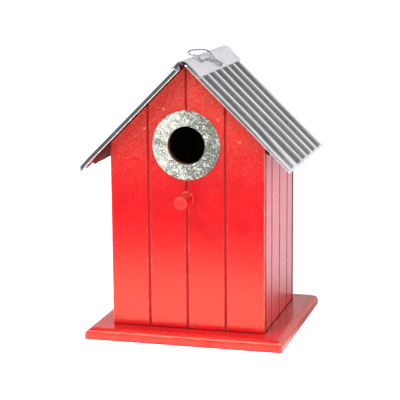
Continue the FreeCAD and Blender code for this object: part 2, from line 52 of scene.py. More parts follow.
# ---------------------------------------------------------------- sizes, in millimetres
# base board and walls
BASE_STEP = 0.5
BASE_ROUND = 5.0
BASE_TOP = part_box("base_plate")[1].z / MM
WALL_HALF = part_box("front_panel")[1].x / MM
FRONT_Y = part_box("front_panel")[0].y / MM
BACK_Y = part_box("back_panel")[1].y / MM
RIDGE_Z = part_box("front_panel")[1].z / MM
PANEL = (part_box("front_panel")[1].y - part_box("front_panel")[0].y) / MM
SIDE_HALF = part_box("right_side_wall")[1].y / MM
BOARD = 3.0
GROOVE_HALF_WIDTH = 1.3
GROOVE_DEPTH = 1.4
FRONT_GROOVES = (-31.0, 0.0, 31.0)
SIDE_GROOVES = (-28.7, 0.0, 28.7)
# entrance, perch and clean-out opening
ENTRANCE_Z = 156.0
ENTRANCE_RADIUS = 15.0
RING_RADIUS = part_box("entrance_ring")[1].x / MM
RING_GAUGE = 0.6
RING_NAIL_CIRCLE = 20.8
PERCH_Z = 114.0
PERCH_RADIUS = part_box("perch")[1].x / MM
PERCH_TIP_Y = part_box("perch")[0].y / MM
PAINTED_RIM = 2.0
OPENING_Z = 44.0
OPENING_RADIUS = 20.0
# roof; spans run down the slope from the ridge
SHEET_GAUGE = 0.5
SHEET_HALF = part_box("right_roof_sheet")[1].y / MM
WAVE_PITCH = 20.0
WAVE_RISE = 2.1
WAVE_MIDDLE = WAVE_RISE + SHEET_GAUGE / 2
RIGHT_SHEET_SPAN = (0.2, 114.8)
LEFT_SHEET_SPAN = (2.9, 119.4)
LEFT_WAVE_SHIFT = -5.0
CAP_OFFSET = 5.45
CAP_BEND = 7.0
CAP_RIGHT_FLANGE = 15.2
CAP_LEFT_FLANGE = 7.6
# wire; its points are in the right slope's frame
WIRE_RADIUS = 0.65
WIRE_HOLE = (12.9, 2.8)
WIRE_HOLE_RADIUS = 1.55
WIRE_LIFT = 1.6
WIRE_BEND = Vector((*WIRE_HOLE, CAP_OFFSET + WIRE_LIFT))
SHANK_END = Vector((6.9, -2.9, 6.7))
# fasteners
NAIL_HEAD_RADIUS = 1.4
NAIL_DOME = 0.7
SCREW_HEAD_RADIUS = 3.4
SCREW_HEAD_HEIGHT = 2.2
SCREW_SEAT_RADIUS = 3.9
SCREW_SEAT_DEPTH = 2.6
SCREW_HOLE_RADIUS = 1.8
SCREW_HOLE_DEPTH = 12.0
PIVOT_HEAD_RADIUS = 4.2

# The slope frames: X down the slope from the ridge, Y along the ridge, Z square to the slope.
RIDGE = Matrix.Translation((0, 0, RIDGE_Z * MM))
SCALE = Matrix.Scale(MM, 4)
PITCH = Matrix.Rotation(math.radians(45), 4, "Y")
RIGHT_SLOPE = RIDGE @ PITCH @ SCALE
LEFT_SLOPE = RIDGE @ Matrix.Rotation(math.pi, 4, "Z") @ PITCH @ SCALE
RIGHT_SHEET_TILT = Matrix.Rotation(math.radians(-0.8), 4, "Y")


# ---------------------------------------------------------------- small maths
def smooth(low, high, value):
    """0 below low, 1 above high, and a smooth step between them."""
    share = max(0.0, min(1.0, (value - low) / (high - low)))
    return share * share * (3 - 2 * share)


def bell(value, centre, width):
    """1 at centre, falling to nothing a few widths away."""
    return math.exp(-((value - centre) / width) ** 2)


def wobble(x, y, z=0.0):
    """Smooth noise from about -1 to 1 with features about one unit across."""
    return noise.noise(Vector((x, y, z)))


def spread(low, high, step):
    """Evenly spaced places from low to high, both included, about step apart."""
    count = max(1, round((high - low) / step))
    return [low + (high - low) * index / count for index in range(count + 1)]


# ---------------------------------------------------------------- node trees
class Tree:
    """Short calls for one node tree. An input is a number, a colour or another node's output."""

    def __init__(self, tree):
        self.tree = tree
        tree.nodes.clear()

    def node(self, kind, inputs=None, **settings):
        """A new node with its settings made and its inputs fed."""
        made = self.tree.nodes.new(kind)
        for name, setting in settings.items():
            setattr(made, name, setting)
        for name, source in (inputs or {}).items():
            self.feed(made.inputs[name], source)
        return made

    def feed(self, socket, source):
        """Links another node's output to the socket, or sets its value."""
        if isinstance(source, bpy.types.NodeSocket):
            self.tree.links.new(source, socket)
        else:
            socket.default_value = source

    def math(self, operation, first, second=0.0):
        return self.node("ShaderNodeMath", {0: first, 1: second}, operation=operation).outputs[0]

    def step(self, value, low, high, from_value=0.0, to_value=1.0):
        """from_value below low, to_value above high, smooth between them."""
        inputs = {"Value": value, "From Min": low, "From Max": high,
                  "To Min": from_value, "To Max": to_value}
        return self.node("ShaderNodeMapRange", inputs, interpolation_type="SMOOTHSTEP").outputs[0]

    def mix(self, share, first, second):
        inputs = {0: share, 6: first, 7: second}
        return self.node("ShaderNodeMix", inputs, data_type="RGBA").outputs[2]

    def place(self, stretch=(1, 1, 1)):
        """The position on the object, with each axis multiplied by stretch."""
        source = self.node("ShaderNodeTexCoord").outputs["Object"]
        if stretch == (1, 1, 1):
            return source
        return self.node("ShaderNodeMapping", {"Vector": source, "Scale": stretch}).outputs[0]

    def axes(self, vector):
        return self.node("ShaderNodeSeparateXYZ", {0: vector}).outputs

    def noise(self, vector, size_mm, detail=2.0, roughness=0.5, distortion=0.0):
        """Noise from 0 to 1 whose features are about size_mm across."""
        inputs = {"Vector": vector, "Scale": 1 / (size_mm * MM), "Detail": detail,
                  "Roughness": roughness, "Distortion": distortion}
        return self.node("ShaderNodeTexNoise", inputs).outputs["Fac"]

    def cells(self, vector, size_mm):
        """A random colour for each of many cells about size_mm across."""
        inputs = {"Vector": vector, "Scale": 1 / (size_mm * MM)}
        return self.node("ShaderNodeTexVoronoi", inputs).outputs["Color"]

    def stored(self, name):
        """A value kept on the mesh's own points."""
        return self.node("ShaderNodeAttribute", attribute_name=name).outputs["Fac"]

    def bump(self, height, depth_mm, normal=None):
        """A normal tilted by height, whose full range is depth_mm, over another normal."""
        inputs = {"Height": height, "Distance": depth_mm * MM, "Strength": 1.0}
        if normal is not None:
            inputs["Normal"] = normal
        return self.node("ShaderNodeBump", inputs).outputs[0]

    def surface(self, inputs):
        """Ends a material's tree with one principled shader."""
        shader = self.node("ShaderNodeBsdfPrincipled", inputs)
        self.node("ShaderNodeOutputMaterial", {"Surface": shader.outputs[0]})


def new_material(name):
    """An empty material and its tree."""
    material = bpy.data.materials.new(name)
    material.use_nodes = True
    return material, Tree(material.node_tree)


# ---------------------------------------------------------------- materials
WRINKLED_RED = (0.58, 0.075, 0.050, 1)
FLECK_RED = (0.33, 0.02, 0.015, 1)
GRIMY_RED = (0.30, 0.035, 0.030, 1)
JOINT_DIRT = (0.12, 0.010, 0.011, 1)
# Lighter red for worn edges, and for painted highlights.
RUB_AND_HIGHLIGHT_RED = (0.80, 0.17, 0.12, 1)
# Lighter, more orange red for faded paint, and for painted light and sheen.
FADED_AND_LIT_RED = (0.66, 0.080, 0.060, 1)
WARM_SHINE = (1.0, 0.93, 0.55, 1)


def paint_dirt(tree, grain):
    """Share of grime, from the mesh's grime, and share of black dirt, from its joint."""
    stored = tree.stored("grime")
    ragged = tree.math("ADD", stored, tree.math("MULTIPLY", grain, 0.7))
    grime = tree.math("MULTIPLY", tree.step(stored, 0.02, 0.35), tree.step(ragged, 0.30, 0.75))
    seam = tree.math("ADD", tree.stored("joint"), tree.math("MULTIPLY", grain, 0.5))
    return grime, tree.step(seam, 0.55, 0.85)


def paint_wear_and_light(tree, place, grain, colour):
    """Lighter red where the mesh's marks say so: rubbed for worn sharp edges and for painted highlight
    streaks along the perch's top; faded for faded paint and for painted light and sheen on the perch
    and the base.
    """
    # Lighter streaks: worn paint at edges, and painted highlight streaks on the perch's top.
    rubbed_and_lit = tree.math("MULTIPLY", tree.stored("rub_and_highlight"), tree.step(grain, 0.42, 0.62))
    colour = tree.mix(tree.math("MULTIPLY", rubbed_and_lit, 0.6), colour, RUB_AND_HIGHLIGHT_RED)
    speckle = tree.step(tree.noise(place, 0.9, 4, 0.7), 0.35, 0.65, 0.1, 0.75)
    # Lighter, more orange red: faded paint, and painted light and sheen on the perch and the base.
    return tree.mix(tree.math("MULTIPLY", tree.stored("faded_and_lit"), speckle), colour, FADED_AND_LIT_RED)


def paint_relief(tree, place, height, wrinkles):
    """Orange peel in two sizes, and wrinkles that rise towards the roof."""
    normal = tree.bump(tree.noise(place, 3.4, 2, 0.5), 0.035)
    normal = tree.bump(tree.noise(place, 1.3, 2, 0.5), 0.10, normal)
    rough_zone = tree.step(height, 95 * MM, 190 * MM, 0.06, 1)
    return tree.bump(tree.math("MULTIPLY", wrinkles, rough_zone), 1.0, normal)


def paint_material(name, bright, deep, gloss_low, gloss_high, sheen):
    """Red brush paint: slightly uneven, dull where it wrinkles under the roof, matt where it is
    dirty. gloss is its roughness and sheen the level of its reflection."""
    material, tree = new_material(name)
    place = tree.place()
    height = tree.axes(place)["Z"]
    clouds = tree.noise(place, 26, 3)
    grain = tree.noise(tree.place((1, 1, 0.12)), 1.6, 4, 0.6)
    streak = tuple(0.75 * part for part in deep)
    colour = tree.mix(tree.step(clouds, 0.3, 0.7), deep, bright)
    colour = tree.mix(tree.step(grain, 0.55, 0.8, 0, 0.2), colour, streak)
    wrinkles = tree.noise(tree.place((1, 1, 0.7)), 2.2, 5, 0.65, 0.8)
    dull = tree.step(height, 150 * MM, 215 * MM)
    worn = tree.math("MULTIPLY", dull, tree.step(wrinkles, 0.42, 0.66))
    colour = tree.mix(tree.math("MULTIPLY", worn, 0.5), colour, WRINKLED_RED)
    flecks = tree.step(tree.noise(place, 1.1, 3, 0.7), 0.71, 0.76, 0, 0.6)
    colour = tree.mix(flecks, colour, FLECK_RED)
    grime, seam = paint_dirt(tree, grain)
    colour = tree.mix(tree.math("MULTIPLY", grime, 0.6), colour, GRIMY_RED)
    colour = tree.mix(seam, colour, JOINT_DIRT)
    colour = paint_wear_and_light(tree, place, grain, colour)
    dirt = tree.math("MAXIMUM", grime, seam)
    gloss = tree.step(tree.noise(place, 8, 3), 0.3, 0.7, gloss_low, gloss_high)
    gloss = tree.math("ADD", gloss, tree.math("MULTIPLY", worn, 0.25))
    gloss = tree.math("ADD", gloss, tree.math("MULTIPLY", dirt, 0.4))
    shine = tree.math("MULTIPLY", tree.math("SUBTRACT", 1.02, dirt), sheen / 1.02)
    tree.surface({"Base Color": colour, "Roughness": gloss, "IOR": 1.5,
                  "Normal": paint_relief(tree, place, height, wrinkles),
                  "Specular IOR Level": shine, "Specular Tint": WARM_SHINE})
    return material


def pin_paint_material():
    """Paint on the pin heads: worn pale high on the gable, and fresh further down."""
    material, tree = new_material("pin_red_paint")
    place = tree.place()
    grain = tree.noise(place, 0.8, 3, 0.6)
    fresh = tree.mix(tree.step(grain, 0.3, 0.7), (0.58, 0.004, 0.012, 1), (0.67, 0.020, 0.024, 1))
    pale = tree.mix(tree.step(grain, 0.3, 0.7), (0.74, 0.11, 0.08, 1), (0.88, 0.22, 0.15, 1))
    gable = tree.step(tree.axes(place)["Z"], 146 * MM, 150 * MM)
    tree.surface({"Base Color": tree.mix(gable, fresh, pale),
                  "Roughness": tree.step(grain, 0.3, 0.7, 0.2, 0.3),
                  "Normal": tree.bump(grain, 0.05), "Specular Tint": WARM_SHINE})
    return material


def raw_wood_material():
    """Bare softwood with its grain upright."""
    material, tree = new_material("raw_wood")
    grain = tree.noise(tree.place((1, 1, 0.06)), 2.4, 5, 0.6, 0.6)
    fibres = tree.noise(tree.place((1, 1, 0.03)), 0.5, 3)
    colour = tree.mix(tree.step(grain, 0.3, 0.7), (0.62, 0.42, 0.24, 1), (0.40, 0.23, 0.11, 1))
    colour = tree.mix(tree.step(fibres, 0.5, 0.8, 0, 0.4), colour, (0.30, 0.17, 0.08, 1))
    tree.surface({"Base Color": colour, "Roughness": tree.step(fibres, 0.3, 0.7, 0.6, 0.8),
                  "Normal": tree.bump(fibres, 0.12)})
    return material


def inside_shade_material():
    """Unpainted inside of the boards, painted nearly black as shade, since no light reaches the closed
    inside.
    """
    material, tree = new_material("inside_shade_wood")
    grain = tree.noise(tree.place((1, 1, 0.06)), 2.4, 5, 0.6, 0.6)
    colour = tree.mix(tree.step(grain, 0.3, 0.7), (0.090, 0.045, 0.030, 1), (0.040, 0.020, 0.014, 1))
    tree.surface({"Base Color": colour, "Roughness": tree.step(grain, 0.3, 0.7, 0.75, 0.9),
                  "Normal": tree.bump(grain, 0.1)})
    return material


def metal_material(name, dark, light, blotch_mm, gloss, stretch=(1, 1, 1), relief_mm=0.02):
    """Metal whose colour runs between dark and light in blotches, with fine relief."""
    material, tree = new_material(name)
    place = tree.place(stretch)
    blotches = tree.noise(place, blotch_mm, 4, 0.6)
    fine = tree.noise(place, blotch_mm / 6, 3, 0.6)
    colour = tree.mix(tree.step(blotches, 0.3, 0.7), dark, light)
    colour = tree.mix(tree.step(fine, 0.55, 0.8, 0, 0.35), colour, dark)
    tree.surface({"Base Color": colour, "Metallic": 1.0,
                  "Roughness": tree.step(fine, 0.3, 0.7, *gloss),
                  "Normal": tree.bump(fine, relief_mm)})
    return material


def spangle_material():
    """Galvanised sheet: fine pale crystals, with darker blotches, more of them towards its lower right.
    """
    material, tree = new_material("galvanised_ring")
    place = tree.place()
    axes = tree.axes(place)
    crystal = tree.axes(tree.cells(place, 2.2))["X"]
    speck = tree.axes(tree.cells(place, 0.9))["Y"]
    colour = tree.mix(tree.step(crystal, 0.1, 0.9), (0.54, 0.57, 0.50, 1), (0.82, 0.85, 0.77, 1))
    colour = tree.mix(tree.step(speck, 0.55, 0.95, 0, 0.5), colour, (0.84, 0.86, 0.78, 1))
    across = tree.math("SUBTRACT", axes["X"], tree.math("MULTIPLY", axes["Z"], 0.25))
    side = tree.step(across, -56 * MM, -24 * MM, -0.09, 0.02)
    darker_blotches = tree.math("ADD", tree.noise(place, 1.4, 4, 0.7, 0.3), side)
    darker_blotches = tree.math("ADD", darker_blotches, tree.math("MULTIPLY", tree.noise(place, 9, 2), 0.30))
    colour = tree.mix(tree.step(darker_blotches, 0.56, 0.66, 0, 0.92), colour, (0.14, 0.15, 0.12, 1))
    gloss = tree.step(crystal, 0.0, 1.0, 0.42, 0.6)
    relief = tree.math("ADD", tree.math("MULTIPLY", crystal, 0.4), tree.noise(place, 1.5, 3))
    tree.surface({"Base Color": colour, "Metallic": 0.75, "Roughness": gloss,
                  "Normal": tree.bump(relief, 0.03)})
    return material


def floor_material():
    """Pale sweep. It shows no shade to the camera, glows in front of the object and is dimmer
    and bluer behind it, so that each face of the object mirrors its own tone."""
    material, tree = new_material("white_floor")
    soft = tree.noise(tree.place(), 400, 2)
    colour = tree.mix(soft, (0.32, 0.32, 0.32, 1), (0.35, 0.35, 0.35, 1))
    y = tree.axes(tree.place())["Y"]
    glow = tree.math("MULTIPLY", tree.step(y, -0.34, -0.15, 1.35, 2.0),
                     tree.step(y, -0.12, 0.03, 1.0, 0.1))
    glow = tree.math("ADD", glow, tree.step(y, 0.02, 0.20, 0.0, 0.74))
    tone = tree.mix(tree.step(y, 0.0, 0.2), (1, 1, 1, 1), (0.90, 0.96, 1.13, 1))
    seen = tree.node("ShaderNodeLightPath").outputs["Is Camera Ray"]
    strength = tree.math("MAXIMUM", glow, tree.math("MULTIPLY", seen, 1.2))
    tree.surface({"Base Color": colour, "Roughness": 0.9, "Emission Color": tone,
                  "Emission Strength": strength, "Specular IOR Level": 0.0})
    return material


# ---------------------------------------------------------------- mesh helpers
def new_object(name, bm, material, smooth_below=35):
    """An object from a bmesh in metres. Edges flatter than smooth_below degrees shade smooth."""
    bmesh.ops.recalc_face_normals(bm, faces=bm.faces)
    mesh = bpy.data.meshes.new(name)
    bm.to_mesh(mesh)
    bm.free()
    mesh.shade_smooth()
    mesh.set_sharp_from_angle(angle=math.radians(smooth_below))
    mesh.materials.append(material)
    made = bpy.data.objects.new(name, mesh)
    bpy.context.scene.collection.objects.link(made)
    return made


def band(bm, low, high):
    """Quads between two closed loops of vertices."""
    for index in range(len(low)):
        after = (index + 1) % len(low)
        bm.faces.new((low[index], low[after], high[after], high[index]))


def loft(bm, loops, closed=False):
    """Bands between loops of points of the same count. closed joins the last loop to the first;
    otherwise both ends are filled. Returns the loops of vertices."""
    rings = [[bm.verts.new(point) for point in loop] for loop in loops]
    for low, high in zip(rings, rings[1:]):
        band(bm, low, high)
    if closed:
        band(bm, rings[-1], rings[0])
    else:
        bm.faces.new(rings[0][::-1])
        bm.faces.new(rings[-1])
    return rings


def quads(bm, lines):
    """Quads over rows of vertices."""
    for low, high in zip(lines, lines[1:]):
        for index in range(len(low) - 1):
            bm.faces.new((low[index], low[index + 1], high[index + 1], high[index]))


def grid(bm, rows):
    """Quads over rows of points."""
    quads(bm, [[bm.verts.new(point) for point in row] for row in rows])


def lathe(bm, profile, matrix, segments=64, closed=False):
    """Turns (radius, height) pairs round Z and places them with matrix."""
    loops = []
    for radius, height in profile:
        turns = [2 * math.pi * index / segments for index in range(segments)]
        loops.append([matrix @ Vector((radius * math.cos(turn), radius * math.sin(turn), height))
                      for turn in turns])
    loft(bm, loops, closed)


def thicken(sheet):
    """Gives a sheet its gauge, half on each side."""
    thick = sheet.modifiers.new("thickness", "SOLIDIFY")
    thick.thickness = SHEET_GAUGE * MM
    thick.offset = 0
    return thick


def bake_modifiers(piece):
    """Turns what the piece's modifiers make into its own mesh."""
    bpy.context.view_layer.update()
    evaluated = piece.evaluated_get(bpy.context.evaluated_depsgraph_get())
    result = bpy.data.meshes.new_from_object(evaluated)
    piece.modifiers.clear()
    piece.data = result


def cut(target, cutter_bm):
    """Takes the closed cutter out of the target's mesh."""
    mesh = bpy.data.meshes.new("cutter")
    bmesh.ops.recalc_face_normals(cutter_bm, faces=cutter_bm.faces)
    cutter_bm.to_mesh(mesh)
    cutter_bm.free()
    tool = bpy.data.objects.new("cutter", mesh)
    bpy.context.scene.collection.objects.link(tool)
    boolean = target.modifiers.new("cut", "BOOLEAN")
    boolean.operation = "DIFFERENCE"
    boolean.solver = "EXACT"
    boolean.object = tool
    bake_modifiers(target)
    target.data.shade_smooth()
    target.data.set_sharp_from_angle(angle=math.radians(35))
    bpy.data.objects.remove(tool)


def facing(direction, centre):
    """Millimetres to metres, with local Z turned to direction at centre."""
    turn = Vector(direction).to_track_quat("Z", "Y").to_matrix().to_4x4()
    return Matrix.Translation(Vector(centre) * MM) @ turn @ SCALE


def settle(piece, slot, *nodes, body="house"):
    """The piece rides on its body and stands for the CAD nodes, which it hides. slot is not used."""
    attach(piece, body)
    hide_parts(*nodes)


# ---------------------------------------------------------------- walls
GROOVE_STEPS = (0, 0.3, 0.6, 0.9, 1.2, 1.5, 1.9, 2.6)
EDGE_STEPS = (0, 0.12, 0.3, 0.55, 0.9, 1.5)


def columns(half, grooves):
    """Places across a panel: closer together at the grooves and at both edges."""
    places = set(spread(-half, half, 2.6))
    for groove in grooves:
        places = {place for place in places if abs(place - groove) > 3.0}
        places |= {groove + side * step for side in (-1, 1) for step in GROOVE_STEPS}
    places = {place for place in places if half - abs(place) > 2.0}
    places |= {side * (half - step) for side in (-1, 1) for step in EDGE_STEPS}
    return sorted(places)


def groove_middle(across, grooves):
    """1 in the middle of any groove, 0 outside them."""
    nearest = min(abs(across - groove) for groove in grooves)
    return 1 - smooth(0, 1, nearest / GROOVE_HALF_WIDTH)


def groove_point(across, up, groove, scale, seed):
    """(depth, grime, rub) that one hand-cut groove adds at one place."""
    centre = groove + 0.18 * wobble(up / 21, seed)
    ragged = 0.88 + 0.30 * wobble(up / 5.5, seed, 2) + 0.14 * wobble(up / 1.7, seed)
    away = abs(across - centre) / (GROOVE_HALF_WIDTH * scale * ragged)
    cut_in = 1 - smooth(0, 1, away)
    depth = cut_in * 0.8 * GROOVE_DEPTH * (0.92 + 0.25 * wobble(up / 8, seed, 5))
    grime = 1 - smooth(0.55, 1.15, away + 0.25 * wobble(up / 2.3, seed, 9))
    rub_and_highlight = bell(away, 1.25, 0.3) * smooth(-0.2, 0.5, wobble(up / 6, seed, 4))
    return depth, grime, rub_and_highlight


def panel_point(across, up, half, grooves, seed, side_wall):
    """(depth below the face, grime, joint, rub) at one place of a panel. A side wall has wider
    grooves and dark joints along both its edges."""
    depth = 0.06 + 0.05 * wobble(across / 17, up / 23, seed) + 0.03 * wobble(across / 4, up / 9, seed)
    depth -= 0.05 * smooth(150, 205, up) * wobble(across / 2.2, up / 2.6, seed + 3)
    grime = 0.0
    rub_and_highlight = 0.0
    scale = 1.25 if side_wall else 1.0
    for index, groove in enumerate(grooves):
        deeper, dirtier, barer = groove_point(across, up, groove, scale, seed + index * 7)
        depth += deeper
        grime = max(grime, dirtier)
        rub_and_highlight = max(rub_and_highlight, barer)
    edge = half - abs(across)
    depth += 0.6 * (1 - smooth(0, 0.9, edge)) ** 2
    rub_and_highlight = max(rub_and_highlight, 1 - smooth(0.2, 1.0, edge))
    height = up - BASE_TOP
    gap = min(height, edge) if side_wall else height
    joint = 1 - smooth(0.2, 1.3, gap + 0.6 * wobble(across / 3, up / 3, seed))
    grime = max(grime, 0.6 * (1 - smooth(4, 22, height)) * groove_middle(across, grooves))
    return depth, grime, joint, rub_and_highlight


def outline(lines):
    """The vertices round a grid, in order."""
    return (lines[0] + [line[-1] for line in lines[1:]] + lines[-1][-2::-1]
            + [line[0] for line in lines[-2:0:-1]])


def add_boards(bm, half, top, grooves, to_frame, seed, side_wall):
    """The grooved face, the flat back with dirt along its edges, and the rim between them."""
    grime, joint, rub_and_highlight = [bm.verts.layers.float.new(name) for name in ("grime", "joint", "rub_and_highlight")]
    places = columns(half, grooves)
    rows = [BASE_TOP + rise for rise in (0, 0.25, 0.6, 1.1)] + spread(BASE_TOP + 2, top, 1.5)
    front = []
    for up in rows:
        line = []
        for across in places:
            depth, *marks = panel_point(across, up, half, grooves, seed, side_wall)
            vertex = bm.verts.new(to_frame(across, up, depth))
            vertex[grime], vertex[joint], vertex[rub_and_highlight] = marks
            line.append(vertex)
        front.append(line)
    back = [[bm.verts.new(to_frame(across, up, PANEL)) for across in places] for up in rows]
    for line in back:
        line[0][joint] = 1.0
        line[-1][joint] = 1.0
    quads(bm, front)
    quads(bm, back)
    band(bm, outline(front), outline(back))


def trim(bm, planes):
    """Cuts off what lies outside the (point, outward direction) planes and closes the cuts."""
    for point, outward in planes:
        geometry = bm.verts[:] + bm.edges[:] + bm.faces[:]
        made = bmesh.ops.bisect_plane(bm, geom=geometry, plane_co=point, plane_no=outward,
                                      clear_outer=True)
        cut_edges = [item for item in made["geom_cut"] if isinstance(item, bmesh.types.BMEdge)]
        bmesh.ops.contextual_create(bm, geom=cut_edges)


def shade_inside(panel, to_frame, holes):
    """The panel's second material, nearly black as painted shade, on its back, and in its holes behind
    a painted rim.
    """
    face_place = to_frame(0, BASE_TOP, 0)
    inwards = (to_frame(0, BASE_TOP, PANEL) - face_place).normalized()
    for face in panel.data.polygons:
        depth = (face.center.dot(inwards) - face_place.dot(inwards)) / MM
        beyond = [(face.center - Vector(centre) * MM).cross(inwards).length / MM - radius
                  for centre, radius in holes]
        in_hole = any(reach < 0.3 for reach in beyond)
        if depth > 0.95 * PANEL or (in_hole and depth > PAINTED_RIM):
            face.material_index = 1


def make_panel(name, half, top, grooves, to_frame, seed, planes, holes=(), side_wall=False):
    """Grooved boards as one closed solid. to_frame turns (across, up, depth) into the frame,
    planes trim it, and holes are (centre, radius)."""
    bm = bmesh.new()
    add_boards(bm, half, top, grooves, to_frame, seed, side_wall)
    trim(bm, planes)
    panel = new_object(name, bm, PAINT)
    # Its second material is nearly black: painted shade for the unlit inside.
    panel.data.materials.append(INSIDE_SHADE)
    for centre, radius in holes:
        drill = bmesh.new()
        rims = [(radius, height) for height in (-20, -PAINTED_RIM, PAINTED_RIM, 20)]
        lathe(drill, rims, facing((0, 1, 0), centre), 96)
        cut(panel, drill)
    shade_inside(panel, to_frame, holes)
    return panel


def make_side_wall(side, name, node):
    """The wall at side 1 (right) or -1 (left), cut off under the roof board."""
    under_board = RIDGE_Z - BOARD * math.sqrt(2) - WALL_HALF
    eave = Vector((side * WALL_HALF, 0, under_board)) * MM
    wall = make_panel(name, SIDE_HALF, under_board + PANEL + 1, SIDE_GROOVES,
                      lambda s, t, d: Vector((side * (WALL_HALF - d), side * s, t)) * MM,
                      80 + side * 11, [(eave, Vector((side, 0, 1)))], side_wall=True)
    settle(wall, "red_paint", node)


def make_walls():
    """Two gables and two side walls."""
    apex = Vector((0, 0, RIDGE_Z * MM))
    gable = [(apex, Vector((1, 0, 1))), (apex, Vector((-1, 0, 1)))]
    front = make_panel("front_boards", WALL_HALF, RIDGE_Z + 1, FRONT_GROOVES,
                       lambda s, t, d: Vector((s, FRONT_Y + d, t)) * MM, 1, gable,
                       [((0, FRONT_Y, ENTRANCE_Z), ENTRANCE_RADIUS)])
    settle(front, "red_paint", "front_panel")
    back = make_panel("back_boards", WALL_HALF, RIDGE_Z + 1, FRONT_GROOVES,
                      lambda s, t, d: Vector((-s, BACK_Y - d, t)) * MM, 40, gable,
                      [((0, BACK_Y, OPENING_Z), OPENING_RADIUS)])
    settle(back, "red_paint", "back_panel")
    make_side_wall(1, "right_boards", "right_side_wall")
    make_side_wall(-1, "left_boards", "left_side_wall")


# ---------------------------------------------------------------- base
def base_profile():
    """(inset from the edge, height) up the board's side, over its round and onto the top."""
    shoulder = BASE_TOP - BASE_STEP
    centre_z = shoulder - BASE_ROUND
    points = [(0.35, 0.0), (0.1, 0.12), (0.0, 0.45), (0.0, 1.6), (0.0, centre_z)]
    for step in range(1, 13):
        angle = math.radians(90 * step / 12)
        points.append((BASE_ROUND * (1 - math.cos(angle)), centre_z + BASE_ROUND * math.sin(angle)))
    points.append((BASE_ROUND + 0.05, shoulder + 0.25))
    return points + [(BASE_ROUND + inset, BASE_TOP) for inset in (0.2, 0.9, 4, 9)]


def base_loop(half_x, half_y, height, inset):
    """One rectangle round the board, slightly uneven."""
    x = half_x - inset
    y = half_y - inset
    corners = [(-x, -y), (x, -y), (x, y), (-x, y)]
    loop = []
    for (x0, y0), (x1, y1) in zip(corners, corners[1:] + corners[:1]):
        for step in range(48):
            share = step / 48
            px = x0 + (x1 - x0) * share
            py = y0 + (y1 - y0) * share
            drift = 0.10 * wobble(px / 14, py / 14, height / 6)
            loop.append(Vector((px * (1 - drift / half_x), py * (1 - drift / half_y), height)) * MM)
    return loop


def base_wear_and_sheen(x, y, inset, height, half_x, half_y):
    """(rubbed, grime, lighter) shares at one place of the base board; the lighter patches on its side
    and round are partly faded paint and partly a painted sheen.
    """
    corner = bell(abs(x), half_x, 2.0) * bell(abs(y), half_y, 2.0)
    lip = bell(inset, BASE_ROUND + 0.2, 0.8) * smooth(-0.1, 0.4, wobble(x / 9, y / 9))
    foot = 1 - smooth(0.1, 0.8, height)
    patch = smooth(-0.9, 0.1, wobble(x / 9, y / 9, height / 3))
    # Painted sheen: lighter patches on the side and round stand in for reflected light, partly as faded
    # paint.
    sheen_and_fade = smooth(0.5, 2.0, height) * patch * (1 - 0.75 * smooth(7.0, 8.7, height))
    return min(1.0, 0.4 * lip + corner + 0.3 * foot), bell(height, 0.0, 0.5) * 0.4, sheen_and_fade


def drill_seats(base):
    """Stepped holes for the four base screws; returns how far they lie from the middle."""
    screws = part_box("base_screws")[1]
    place_x = screws.x / MM - SCREW_HEAD_RADIUS
    place_y = screws.y / MM - SCREW_HEAD_RADIUS
    for x in (-place_x, place_x):
        for y in (-place_y, place_y):
            seat = bmesh.new()
            steps = [(SCREW_SEAT_RADIUS, -1), (SCREW_SEAT_RADIUS, SCREW_SEAT_DEPTH),
                     (SCREW_HOLE_RADIUS, SCREW_SEAT_DEPTH + 0.0001),
                     (SCREW_HOLE_RADIUS, SCREW_HOLE_DEPTH)]
            lathe(seat, steps, facing((0, 0, 1), (x, y, 0)), 40)
            cut(base, seat)
    return place_x, place_y


def make_base():
    """The base board; returns where its screws are."""
    half_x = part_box("base_plate")[1].x / MM
    half_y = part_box("base_plate")[1].y / MM
    bm = bmesh.new()
    layers = [bm.verts.layers.float.new(name) for name in ("rub_and_highlight", "grime", "faded_and_lit")]
    profile = base_profile()
    rings = loft(bm, [base_loop(half_x, half_y, height, inset) for inset, height in profile])
    for (inset, height), ring in zip(profile, rings):
        for vertex in ring:
            marks = base_wear_and_sheen(vertex.co.x / MM, vertex.co.y / MM, inset, height, half_x, half_y)
            for layer, mark in zip(layers, marks):
                vertex[layer] = mark
    base = new_object("base_board", bm, BASE_PAINT, 40)
    places = drill_seats(base)
    settle(base, "red_paint", "base_plate")
    return places


# ---------------------------------------------------------------- roof
def wave_height(across):
    """Height of the corrugated sheet over its own middle: arcs, crest and valley by turns."""
    angle = 2 * math.atan(4 * WAVE_RISE / WAVE_PITCH)
    radius = WAVE_PITCH / 4 / math.sin(angle)
    turn = (across / WAVE_PITCH + 0.25) % 1.0
    crest = turn < 0.5
    offset = (turn - 0.25 if crest else turn - 0.75) * WAVE_PITCH
    rise = math.sqrt(radius * radius - offset * offset) - radius * math.cos(angle)
    return rise if crest else -rise


def make_sheet(name, node, slope, span, shift, bend):
    """Corrugated sheet from span[0] to span[1] down the slope. bend(share down, across) gives
    (moved across, height added, share of the wave's height)."""
    bm = bmesh.new()
    rows = []
    start, end = span
    for down in spread(start, end, 2.5):
        share = (down - start) / (end - start)
        ends = smooth(0.97, 1, share) - smooth(0.03, 0, share)
        row = []
        for across in spread(-SHEET_HALF, SHEET_HALF, 0.8):
            moved, lift, depth = bend(share, across)
            height = wave_height(across - moved - shift) * depth
            ripple = 0.05 * wobble(down / 11, across / 9, shift)
            ragged = 0.18 * wobble(across / 3, shift, 4) * ends
            row.append(slope @ Vector((down + ragged, across, WAVE_MIDDLE + height + lift + ripple)))
        rows.append(row)
    grid(bm, rows)
    sheet = new_object(name, bm, ZINC, 60)
    sheet.data.materials.append(CUT_EDGE)
    thicken(sheet).material_offset_rim = 1
    settle(sheet, "corrugated_zinc", node)


